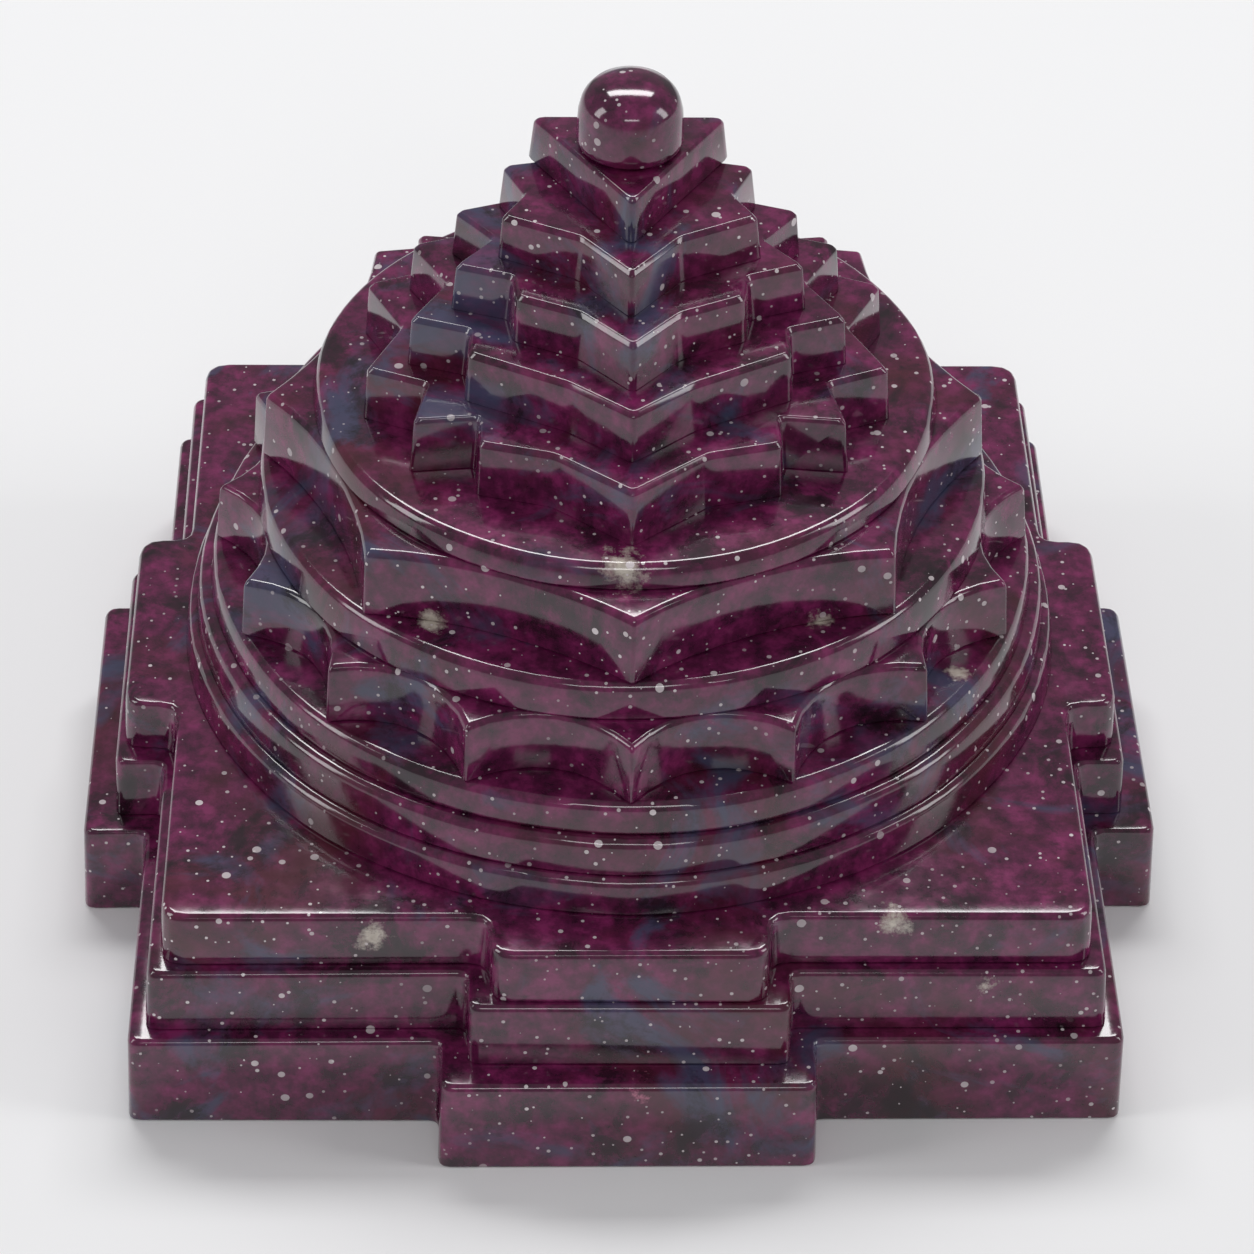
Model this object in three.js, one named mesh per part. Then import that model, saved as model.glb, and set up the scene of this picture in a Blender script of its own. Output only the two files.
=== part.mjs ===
// A shri yantra carved from one block of ruby-in-matrix stone, in millimetres, +Z up.
// The front gate and the front apex of the stars face -Y; the origin is the centre of the base.
import * as THREE from 'three';

// Heights of the carved tiers, bottom up
const LOWER_TIER_HEIGHT = 7.2;
const MIDDLE_TIER_HEIGHT = 4.9;
const UPPER_TIER_HEIGHT = 4.1;
const OUTER_STEP_HEIGHT = 2.7;
const MIDDLE_STEP_HEIGHT = 2.6;
const INNER_STEP_HEIGHT = 2.3;
const SIXTEEN_PETAL_HEIGHT = 4.6;
const EIGHT_PETAL_DISC_HEIGHT = 2.7;
const EIGHT_PETAL_HEIGHT = 5.1;
const STAR_DISC_HEIGHT = 1.7;
const FOURTEEN_POINT_HEIGHT = 4.1;
const OUTER_TEN_POINT_HEIGHT = 3.7;
const INNER_TEN_POINT_HEIGHT = 3.5;
const EIGHT_POINT_HEIGHT = 3.3;
const TRIANGLE_HEIGHT = 3.3;
const BINDU_HEIGHT = 5.0;

// Square tiers with a gate in the middle of each side, measured at their foot
const LOWER_SQUARE = { half: 33.6, reach: 38.0, gateHalf: 12.6, corner: 0.8 };
const MIDDLE_SQUARE = { half: 32.2, reach: 35.6, gateHalf: 10.8, corner: 0.8 };
const UPPER_SQUARE = { half: 31.1, reach: 34.8, gateHalf: 9.3, corner: 1.6 };

// Foot radii of the round steps
const OUTER_STEP_RADIUS = 30.8;
const MIDDLE_STEP_RADIUS = 29.9;
const INNER_STEP_RADIUS = 28.8;
const EIGHT_PETAL_DISC_RADIUS = 25.3;
const STAR_DISC_RADIUS = 21.4;
const ROUND_STEPS = 96;

// Petal tips stop just inside the edge of the disc that carries them
const PETAL_EDGE_MARGIN = 0.4;
const VALLEY_MARGIN = 0.1;
const ARC_STEPS = 8;

// Wall draft and the broken top edge of every tier
const DRAFT = 0.35;
const EDGE_BREAK = 0.35;
const STAR_CORNER = 0.45;
const CORNER_STEPS = 3;

// Star tips and notches as [degrees from the front, radius], one side; the other side mirrors it
const FOURTEEN_POINTS = [
  [0, 19.0], [19.4, 15.7], [36.8, 16.9], [44, 14.6], [53, 18.3], [64, 15.3], [74.4, 18.6], [90, 15.4],
  [105.6, 18.6], [116, 15.3], [127, 18.3], [136, 14.6], [143.2, 16.9], [160.6, 15.7], [180, 19.0],
];
const OUTER_TEN_POINTS = [
  [0, 15.5], [19.3, 12.7], [52, 13.9], [62, 12.3], [73.5, 15.5], [90, 12.3],
  [106.5, 15.5], [118, 12.3], [128, 13.9], [160.7, 12.7], [180, 15.5],
];
const INNER_TEN_POINTS = [
  [0, 12.7], [20.6, 9.6], [47.7, 10.5], [60, 9.3], [74.6, 12.4], [90, 9.3],
  [105.4, 12.4], [120, 9.3], [132.3, 10.5], [159.4, 9.6], [180, 12.7],
];
const EIGHT_POINTS = [
  [0, 9.3], [35, 6.1], [75, 9.2], [94, 7.2], [114, 9.6], [130, 7.2], [147, 8.4], [163, 6.6], [180, 8.6],
];
const TRIANGLE_FRONT = 5.9;
const TRIANGLE_BACK = 5.0;
const TRIANGLE_HALF = 7.0;
const TRIANGLE_CORNER = 0.9;

const BINDU_RADIUS = 3.6;
const BINDU_CENTRE_Y = 1.3;
// Bindu profile as [share of the height, share of the radius]
const BINDU_PROFILE = [[0, 0.9], [0.12, 1], [0.55, 0.97], [0.75, 0.9], [0.88, 0.74], [0.96, 0.5], [1, 0.24]];

const STONE = { color: 0x5a1440, roughness: 0.12, metalness: 0 };
const RAD = Math.PI / 180;

// Replaces each corner by a short curve that starts at most `radius` before it
function roundCorners(points, radius) {
  const out = [];
  points.forEach((corner, i) => {
    const before = points[(i + points.length - 1) % points.length];
    const after = points[(i + 1) % points.length];
    const cut = Math.min(radius, corner.distanceTo(before) * 0.4, corner.distanceTo(after) * 0.4);
    const from = corner.clone().add(before.clone().sub(corner).setLength(cut));
    const to = corner.clone().add(after.clone().sub(corner).setLength(cut));
    out.push(...new THREE.QuadraticBezierCurve(from, corner, to).getPoints(CORNER_STEPS));
  });
  return out;
}

function squareOutline({ half, reach, gateHalf, corner }) {
  const points = [];
  for (let side = 0; side < 4; side += 1) {
    const side2d = [[-half, -half], [-gateHalf, -half], [-gateHalf, -reach], [gateHalf, -reach], [gateHalf, -half]];
    side2d.forEach(([x, y]) => {
      points.push(new THREE.Vector2(x, y).rotateAround(new THREE.Vector2(), side * 90 * RAD));
    });
  }
  return roundCorners(points, corner);
}

function circleOutline(radius) {
  return Array.from({ length: ROUND_STEPS }, (_, i) => polar(i * 360 / ROUND_STEPS, radius));
}

// A point at an angle counted from the front, -Y, towards +X
function polar(degrees, radius) {
  return new THREE.Vector2(Math.sin(degrees * RAD) * radius, -Math.cos(degrees * RAD) * radius);
}

// Pointed petals with a hollow scoop between each pair of tips
function petalOutline(count, tipRadius, valleyRadius) {
  const points = [];
  const pitch = 360 / count;
  const scoop = tipRadius * Math.cos(pitch * RAD / 2) - valleyRadius;
  for (let petal = 0; petal < count; petal += 1) {
    const from = polar(petal * pitch, tipRadius);
    const to = polar((petal + 1) * pitch, tipRadius);
    const inward = polar((petal + 0.5) * pitch, -1);
    for (let step = 0; step < ARC_STEPS; step += 1) {
      const t = step / ARC_STEPS;
      points.push(from.clone().lerp(to, t).addScaledVector(inward, scoop * 4 * t * (1 - t)));
    }
  }
  return points;
}

function starOutline(side) {
  const mirrored = side.slice(1, -1).reverse().map(([degrees, radius]) => [-degrees, radius]);
  return roundCorners([...side, ...mirrored].map(([degrees, radius]) => polar(degrees, radius)), STAR_CORNER);
}

function triangleOutline() {
  const corners = [[0, -TRIANGLE_FRONT], [TRIANGLE_HALF, TRIANGLE_BACK], [-TRIANGLE_HALF, TRIANGLE_BACK]];
  return roundCorners(corners.map(([x, y]) => new THREE.Vector2(x, y)), TRIANGLE_CORNER);
}

// Closed body through copies of one outline, each scaled about `centre` and set at its own height
function stack(outline, rings, centre = new THREE.Vector2()) {
  const count = outline.length;
  const positions = [];
  rings.forEach(({ z, scale }) => {
    outline.forEach((p) => {
      positions.push(centre.x + (p.x - centre.x) * scale, centre.y + (p.y - centre.y) * scale, z);
    });
  });
  const index = [];
  const last = (rings.length - 1) * count;
  THREE.ShapeUtils.triangulateShape(outline, []).forEach(([a, b, c]) => {
    index.push(a, c, b, last + a, last + b, last + c);
  });
  for (let ring = 0; ring < rings.length - 1; ring += 1) {
    for (let i = 0; i < count; i += 1) {
      const a = ring * count + i;
      const b = ring * count + (i + 1) % count;
      index.push(a, b, b + count, a, b + count, a + count);
    }
  }
  const geometry = new THREE.BufferGeometry();
  geometry.setAttribute('position', new THREE.Float32BufferAttribute(positions, 3));
  geometry.setIndex(index);
  geometry.computeVertexNormals();
  return geometry;
}

function tierRings(outline, bottom, height) {
  const size = Math.max(...outline.map((p) => p.length()));
  const top = bottom + height;
  return [
    { z: bottom, scale: 1 },
    { z: top - EDGE_BREAK, scale: 1 - DRAFT / size },
    { z: top, scale: 1 - (DRAFT + EDGE_BREAK) / size },
  ];
}

const yantra = new THREE.Group();
let level = 0;

function add(name, geometry) {
  const mesh = new THREE.Mesh(geometry, new THREE.MeshStandardMaterial(STONE));
  mesh.name = name;
  yantra.add(mesh);
}

function addTier(name, outline, height) {
  add(name, stack(outline, tierRings(outline, level, height)));
  level += height;
}

const sixteenTips = INNER_STEP_RADIUS - PETAL_EDGE_MARGIN;
const eightTips = EIGHT_PETAL_DISC_RADIUS - PETAL_EDGE_MARGIN;
addTier('bhupura_lower_tier', squareOutline(LOWER_SQUARE), LOWER_TIER_HEIGHT);
addTier('bhupura_middle_tier', squareOutline(MIDDLE_SQUARE), MIDDLE_TIER_HEIGHT);
addTier('bhupura_upper_tier', squareOutline(UPPER_SQUARE), UPPER_TIER_HEIGHT);
addTier('outer_circle_step', circleOutline(OUTER_STEP_RADIUS), OUTER_STEP_HEIGHT);
addTier('middle_circle_step', circleOutline(MIDDLE_STEP_RADIUS), MIDDLE_STEP_HEIGHT);
addTier('inner_circle_step', circleOutline(INNER_STEP_RADIUS), INNER_STEP_HEIGHT);
addTier('sixteen_petal_lotus', petalOutline(16, sixteenTips, EIGHT_PETAL_DISC_RADIUS + VALLEY_MARGIN),
  SIXTEEN_PETAL_HEIGHT);
addTier('eight_petal_disc', circleOutline(EIGHT_PETAL_DISC_RADIUS), EIGHT_PETAL_DISC_HEIGHT);
addTier('eight_petal_lotus', petalOutline(8, eightTips, STAR_DISC_RADIUS + VALLEY_MARGIN), EIGHT_PETAL_HEIGHT);
addTier('star_disc', circleOutline(STAR_DISC_RADIUS), STAR_DISC_HEIGHT);
addTier('fourteen_point_tier', starOutline(FOURTEEN_POINTS), FOURTEEN_POINT_HEIGHT);
addTier('outer_ten_point_tier', starOutline(OUTER_TEN_POINTS), OUTER_TEN_POINT_HEIGHT);
addTier('inner_ten_point_tier', starOutline(INNER_TEN_POINTS), INNER_TEN_POINT_HEIGHT);
addTier('eight_point_tier', starOutline(EIGHT_POINTS), EIGHT_POINT_HEIGHT);
addTier('central_triangle', triangleOutline(), TRIANGLE_HEIGHT);

const binduCentre = new THREE.Vector2(0, BINDU_CENTRE_Y);
const binduOutline = circleOutline(BINDU_RADIUS).map((p) => p.add(binduCentre));
const binduRings = BINDU_PROFILE.map(([up, out]) => ({ z: level + BINDU_HEIGHT * up, scale: out }));
add('bindu', stack(binduOutline, binduRings, binduCentre));

export default yantra;
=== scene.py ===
"""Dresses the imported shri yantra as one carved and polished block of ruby-in-matrix stone."""

import math

import bpy
import numpy as np
from mathutils import Matrix, Vector
from mathutils.noise import noise_vector, seed_set


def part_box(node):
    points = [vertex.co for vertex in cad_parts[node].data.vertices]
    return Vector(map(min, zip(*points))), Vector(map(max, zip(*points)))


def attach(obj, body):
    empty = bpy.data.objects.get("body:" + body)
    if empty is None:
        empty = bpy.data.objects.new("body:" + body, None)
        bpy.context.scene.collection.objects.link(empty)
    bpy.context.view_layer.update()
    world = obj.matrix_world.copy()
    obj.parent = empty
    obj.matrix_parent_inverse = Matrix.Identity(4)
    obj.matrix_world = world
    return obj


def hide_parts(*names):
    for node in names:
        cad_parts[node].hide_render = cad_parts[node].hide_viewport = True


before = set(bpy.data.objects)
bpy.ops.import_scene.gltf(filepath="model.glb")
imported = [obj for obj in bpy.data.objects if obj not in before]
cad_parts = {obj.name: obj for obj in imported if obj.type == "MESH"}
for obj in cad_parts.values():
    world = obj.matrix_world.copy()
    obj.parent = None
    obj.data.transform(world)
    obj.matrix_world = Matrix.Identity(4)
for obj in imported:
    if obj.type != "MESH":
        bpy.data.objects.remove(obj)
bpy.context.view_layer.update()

MM = 0.001

# Camera fitted to the photograph, with distances in metres and an image 1254 pixels wide
IMAGE_WIDTH = 1254
CAMERA_TARGET = (0.0, 0.0, 0.0202)
CAMERA_DISTANCE = 0.3253
CAMERA_ELEVATION = math.radians(38.87)
CAMERA_YAW = math.radians(2.04)
CAMERA_ROLL = math.radians(1.31)
CAMERA_LENS = 132.3
CAMERA_SENSOR = 36.0
CAMERA_SHIFT_X = 6.4 / IMAGE_WIDTH
CAMERA_SHIFT_Y = -51.0 / IMAGE_WIDTH

# Hand finish of the carving: worn edges, and walls that wander a little
WELD_DISTANCE = 1e-6
FLAT_ANGLE = math.radians(1)
BEVEL_WIDTH = 0.32 * MM
BEVEL_SEGMENTS = 3
BEVEL_ANGLE = math.radians(24)
SMOOTH_ANGLE = math.radians(35)
WOBBLE = 0.16 * MM
WOBBLE_WAVE = 9.0 * MM
# Without a seed other than 0 the noise takes its offset from the clock
WOBBLE_SEED = 7

BODY = "root"
TIERS = (
    "bhupura_lower_tier", "bhupura_middle_tier", "bhupura_upper_tier", "outer_circle_step",
    "middle_circle_step", "inner_circle_step", "sixteen_petal_lotus", "eight_petal_disc",
    "eight_petal_lotus", "star_disc", "fourteen_point_tier", "outer_ten_point_tier",
    "inner_ten_point_tier", "eight_point_tier", "central_triangle", "bindu",
)

# Crystal grain of the stone: wave in mm, and colours from the darkest grain to the brightest
GRAIN_WAVE = 1.6
GRAIN_DETAIL = 6
GRAIN_ROUGHNESS = 0.65
GRAIN_COLOURS = ((0.30, "2E0A22"), (0.48, "57143D"), (0.66, "7E2359"))

# Clouds in the stone: colour, wave in mm, detail, roughness, distortion, where the cloud starts
# and is full on the noise, and its strength when full
CLOUDS = (
    ("4A1620", 14, 4, 0.60, 0.6, 0.52, 0.68, 0.75),
    ("3F4763", 11, 5, 0.62, 1.0, 0.53, 0.64, 0.80),
    ("14070F", 5.5, 6, 0.70, 0.4, 0.52, 0.64, 0.85),
)

# Pale mineral inclusions, as centre and radius in mm, and one rose-coloured one
INCLUSIONS = (
    ((-0.5, -20.6, 37.3), 2.6), ((-13.0, -18.5, 31.2), 1.6), ((12.5, -18.0, 31.2), 1.7),
    ((17.5, -31.0, 16.0), 2.4), ((23.8, -33.0, 11.0), 2.2), ((-17.0, -31.0, 14.5), 1.9),
    ((22.5, -15.0, 23.8), 1.4), ((-7.2, -11.5, 46.5), 1.6), ((30.5, 1.5, 13.0), 2.6),
)
ROSE_SPOT = ((0.8, -37.0, 6.4), 1.5)
PALE_WAVE = 0.6
PALE_DETAIL = 4
PALE_DARK = "8C7A6E"
PALE_BRIGHT = "E9E2D6"
ROSE_COLOUR = "E58AA8"
EDGE_WAVE = 1.3
EDGE_DETAIL = 5
EDGE_ROUGHNESS = 0.75
EDGE_RAGGED = 1.8
EDGE_OFFSET = -0.55
SPOT_SOLID = 0.55
SPOT_END = 0.95

# Mica flecks: cell size in mm with the largest fleck's share of a cell, and how they gather
FLECK_SIZES = ((0.75, 0.19), (1.9, 0.17))
FLECK_COLOUR = "D9CFD2"
CLUMP_WAVE = 9
CLUMP_DETAIL = 3
CLUMP_STOPS = ((0.35, 0.35), (0.65, 1.0))

# Polish: the refraction of corundum (1.76) lowered for the matrix, with a faint ripple from lapping
STONE_IOR = 1.66
POLISH_LOW = 0.06
POLISH_HIGH = 0.18
COAT_WEIGHT = 0.15
COAT_ROUGHNESS = 0.05
RIPPLE_WAVE = 2.2
RIPPLE_DETAIL = 3
RIPPLE_STRENGTH = 0.12
RIPPLE_DEPTH = 0.1 * MM

# Studio: the floor's half width in metres, and the world's strength on the object and as backdrop
FLOOR_HALF = 3.0
FLOOR_COLOUR = "F4F4F5"
FLOOR_ROUGHNESS = 0.9
WORLD_COLOUR = "F4F4F6"
WORLD_ON_OBJECT = 0.28
WORLD_AS_BACKDROP = 1.0
LIGHT_TARGET = (0.0, 0.0, 0.02)
# Soft boxes: name, place and width and depth in metres, and power in watts
LAMPS = (
    ("top_softbox", (0.0, 0.30, 0.55), 0.50, 0.12, 2.2),
    ("left_softbox", (-0.55, -0.10, 0.30), 0.16, 0.40, 0.9),
    ("right_softbox", (0.55, -0.10, 0.30), 0.16, 0.40, 0.9),
    ("front_fill", (0.0, -0.60, 0.45), 0.35, 0.08, 0.5),
)


def linear(code):
    """sRGB hex to linear RGBA."""
    def one(value):
        return value / 12.92 if value <= 0.04045 else ((value + 0.055) / 1.055) ** 2.4
    return tuple(one(int(code[i:i + 2], 16) / 255) for i in (0, 2, 4)) + (1.0,)


def grey(value):
    return (value, value, value, 1.0)


def add_node(tree, kind, settings=None, links=None):
    """One node with its settings (attributes or input values) and its incoming links."""
    node = tree.nodes.new(kind)
    for name, value in (settings or {}).items():
        if isinstance(name, str) and hasattr(node, name):
            setattr(node, name, value)
        else:
            node.inputs[name].default_value = value
    for name, socket in (links or {}).items():
        tree.links.new(socket, node.inputs[name])
    return node


def ramp(tree, factor, stops):
    """Colours or greys spread along a factor."""
    node = add_node(tree, "ShaderNodeValToRGB", links={0: factor})
    elements = node.color_ramp.elements
    while len(elements) < len(stops):
        elements.new(0.5)
    for element, (place, colour) in zip(elements, stops):
        element.position = place
        element.color = colour
    return node.outputs[0]


def mix(tree, factor, low, high):
    """The low colour where the factor is 0, the high one where it is 1."""
    node = add_node(tree, "ShaderNodeMix", {"data_type": "RGBA"})
    for socket, value in ((node.inputs[0], factor), (node.inputs[6], low), (node.inputs[7], high)):
        if isinstance(value, tuple):
            socket.default_value = value
        else:
            tree.links.new(value, socket)
    return node.outputs[2]


def noise(tree, where, wave_mm, detail, rough=0.55, distortion=0.0):
    """Noise whose main wave is wave_mm long."""
    settings = {
        "Scale": 1 / (wave_mm * MM), "Detail": detail, "Roughness": rough, "Distortion": distortion,
    }
    return add_node(tree, "ShaderNodeTexNoise", settings, {"Vector": where}).outputs[0]


def flecks(tree, where, cell_mm, size):
    """Bright mica grains, one in each cell of a Voronoi pattern, of uneven size."""
    cells = add_node(tree, "ShaderNodeTexVoronoi", {"Scale": 1 / (cell_mm * MM)}, {"Vector": where})
    chance = add_node(tree, "ShaderNodeSeparateColor", links={0: cells.outputs["Color"]})
    limit = add_node(tree, "ShaderNodeMath", {"operation": "MULTIPLY", 1: size}, {0: chance.outputs[0]})
    hit = add_node(tree, "ShaderNodeMath", {"operation": "LESS_THAN"},
                   {0: cells.outputs["Distance"], 1: limit.outputs[0]})
    return hit.outputs[0]


def spot(tree, where, centre, radius, ragged):
    """One inclusion: 1 inside a ragged ball about centre, 0 outside."""
    gap = add_node(tree, "ShaderNodeVectorMath",
                   {"operation": "DISTANCE", 1: tuple(c * MM for c in centre)}, {0: where})
    share = add_node(tree, "ShaderNodeMath", {"operation": "DIVIDE", 1: radius * MM},
                     {0: gap.outputs["Value"]})
    edge = add_node(tree, "ShaderNodeMath", {"operation": "ADD"}, {0: share.outputs[0], 1: ragged})
    return ramp(tree, edge.outputs[0], [(SPOT_SOLID, grey(1)), (SPOT_END, grey(0))])


def clouded_body(tree, where, grain):
    """Wine-purple grain under reddish-brown, blue-grey and near-black clouds."""
    body = ramp(tree, grain, [(place, linear(code)) for place, code in GRAIN_COLOURS])
    for code, wave, detail, rough, distortion, start, full, strength in CLOUDS:
        cloud = ramp(tree, noise(tree, where, wave, detail, rough, distortion),
                     [(start, grey(0)), (full, grey(strength))])
        body = mix(tree, cloud, body, linear(code))
    return body


def with_inclusions(tree, where, body):
    """Cream and tan inclusions, roughly where the photographed stone has its largest ones."""
    ragged = add_node(tree, "ShaderNodeMath",
                      {"operation": "MULTIPLY_ADD", 1: EDGE_RAGGED, 2: EDGE_OFFSET},
                      {0: noise(tree, where, EDGE_WAVE, EDGE_DETAIL, EDGE_ROUGHNESS)}).outputs[0]
    pale = mix(tree, noise(tree, where, PALE_WAVE, PALE_DETAIL), linear(PALE_DARK), linear(PALE_BRIGHT))
    for centre, radius in INCLUSIONS:
        body = mix(tree, spot(tree, where, centre, radius, ragged), body, pale)
    return mix(tree, spot(tree, where, *ROSE_SPOT, ragged), body, linear(ROSE_COLOUR))


def with_flecks(tree, where, body):
    """Silver mica dust that gathers in loose clumps."""
    clump = ramp(tree, noise(tree, where, CLUMP_WAVE, CLUMP_DETAIL),
                 [(place, grey(value)) for place, value in CLUMP_STOPS])
    for cell_mm, size in FLECK_SIZES:
        grains = add_node(tree, "ShaderNodeMath", {"operation": "MULTIPLY"},
                          {0: flecks(tree, where, cell_mm, size), 1: clump})
        body = mix(tree, grains.outputs[0], body, linear(FLECK_COLOUR))
    return body


def ruby_stone():
    """Polished ruby-in-matrix: wine-purple corundum clouded with blue-grey and near-black
    mica, dusted with silver grains. Lapped and polished, so it reflects like dark glass."""
    material = bpy.data.materials.new("polished_ruby_matrix_stone")
    material.use_nodes = True
    tree = material.node_tree
    shader = tree.nodes["Principled BSDF"]
    where = add_node(tree, "ShaderNodeTexCoord").outputs["Object"]
    grain = noise(tree, where, GRAIN_WAVE, GRAIN_DETAIL, GRAIN_ROUGHNESS)
    body = clouded_body(tree, where, grain)
    body = with_inclusions(tree, where, body)
    body = with_flecks(tree, where, body)
    tree.links.new(body, shader.inputs["Base Color"])
    polish = add_node(tree, "ShaderNodeMapRange", {"To Min": POLISH_LOW, "To Max": POLISH_HIGH},
                      {"Value": grain})
    tree.links.new(polish.outputs[0], shader.inputs["Roughness"])
    shader.inputs["IOR"].default_value = STONE_IOR
    shader.inputs["Coat Weight"].default_value = COAT_WEIGHT
    shader.inputs["Coat Roughness"].default_value = COAT_ROUGHNESS
    ripple = add_node(tree, "ShaderNodeBump", {"Strength": RIPPLE_STRENGTH, "Distance": RIPPLE_DEPTH},
                      {"Height": noise(tree, where, RIPPLE_WAVE, RIPPLE_DETAIL)})
    tree.links.new(ripple.outputs[0], shader.inputs["Normal"])
    return material


def add_object(name, data):
    thing = bpy.data.objects.new(name, data)
    bpy.context.scene.collection.objects.link(thing)
    return thing


def wear_edges(piece):
    """Joins the loose triangles, breaks the sharp edges and keeps the result as a plain mesh."""
    weld = piece.modifiers.new("weld", "WELD")
    weld.merge_threshold = WELD_DISTANCE
    flat = piece.modifiers.new("flat", "DECIMATE")
    flat.decimate_type = "DISSOLVE"
    flat.angle_limit = FLAT_ANGLE
    bevel = piece.modifiers.new("bevel", "BEVEL")
    bevel.width = BEVEL_WIDTH
    bevel.segments = BEVEL_SEGMENTS
    bevel.limit_method = "ANGLE"
    bevel.angle_limit = BEVEL_ANGLE
    bevel.use_clamp_overlap = True
    triangles = piece.modifiers.new("tri", "TRIANGULATE")
    triangles.quad_method = "BEAUTY"
    graph = bpy.context.evaluated_depsgraph_get()
    done = bpy.data.meshes.new_from_object(piece.evaluated_get(graph))
    piece.modifiers.clear()
    piece.data = done


def carved_tier(name, material):
    """A copy of one tier with worn edges and the slight unevenness of hand carving."""
    source = bpy.data.objects[name]
    low, high = (np.array(corner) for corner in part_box(name))
    mesh = source.data.copy()
    mesh.transform(source.matrix_world)
    mesh.materials.clear()
    mesh.materials.append(material)
    piece = add_object(name + "_stone", mesh)
    wear_edges(piece)
    for vertex in piece.data.vertices:
        shift = noise_vector(vertex.co / WOBBLE_WAVE) * WOBBLE
        moved = np.array(vertex.co) + np.array((shift.x, shift.y, 0.0))
        vertex.co = np.clip(moved, low, high)
    piece.data.shade_smooth()
    piece.data.set_sharp_from_angle(angle=SMOOTH_ANGLE)
    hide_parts(name)
    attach(piece, BODY)


def make_camera():
    data = bpy.data.cameras.new("camera")
    data.sensor_width = CAMERA_SENSOR
    data.lens = CAMERA_LENS
    data.shift_x = CAMERA_SHIFT_X
    data.shift_y = CAMERA_SHIFT_Y
    camera = add_object("camera", data)
    level = math.cos(CAMERA_ELEVATION)
    back = Vector((-math.sin(CAMERA_YAW) * level, -math.cos(CAMERA_YAW) * level,
                   math.sin(CAMERA_ELEVATION)))
    place = Vector(CAMERA_TARGET) + back * CAMERA_DISTANCE
    turn = (-back).to_track_quat("-Z", "Y").to_matrix().to_4x4()
    roll = Matrix.Rotation(CAMERA_ROLL, 4, "Z")
    camera.matrix_world = Matrix.Translation(place) @ turn @ roll
    bpy.context.scene.camera = camera


def make_floor():
    """A pale matt floor that takes the object's soft shadow."""
    mesh = bpy.data.meshes.new("floor")
    half = FLOOR_HALF
    corners = [(-half, -half, 0), (half, -half, 0), (half, half, 0), (-half, half, 0)]
    mesh.from_pydata(corners, [], [(0, 1, 2, 3)])
    floor = add_object("floor", mesh)
    material = bpy.data.materials.new("matt_white_paper")
    material.use_nodes = True
    shader = material.node_tree.nodes["Principled BSDF"]
    shader.inputs["Base Color"].default_value = linear(FLOOR_COLOUR)
    shader.inputs["Roughness"].default_value = FLOOR_ROUGHNESS
    mesh.materials.append(material)


def make_world():
    """A pale studio: full white to the camera, and a dimmer even light on the object."""
    world = bpy.data.worlds.new("studio")
    bpy.context.scene.world = world
    world.use_nodes = True
    tree = world.node_tree
    ground = tree.nodes["Background"]
    ground.inputs["Color"].default_value = linear(WORLD_COLOUR)
    path = add_node(tree, "ShaderNodeLightPath")
    strength = add_node(tree, "ShaderNodeMapRange",
                        {"To Min": WORLD_ON_OBJECT, "To Max": WORLD_AS_BACKDROP},
                        {"Value": path.outputs["Is Camera Ray"]})
    tree.links.new(strength.outputs[0], ground.inputs["Strength"])


def make_lamps():
    """A wide soft box above and behind, one at each side and a weak fill in front."""
    for name, place, width, depth, power in LAMPS:
        data = bpy.data.lights.new(name, "AREA")
        data.shape = "RECTANGLE"
        data.size = width
        data.size_y = depth
        data.energy = power
        lamp = add_object(name, data)
        lamp.location = place
        aim = Vector(LIGHT_TARGET) - Vector(place)
        lamp.rotation_euler = aim.to_track_quat("-Z", "Y").to_euler()


bpy.context.scene.view_settings.view_transform = "Standard"
stone = ruby_stone()
seed_set(WOBBLE_SEED)
for tier in TIERS:
    carved_tier(tier, stone)
make_floor()
make_world()
make_lamps()
make_camera()
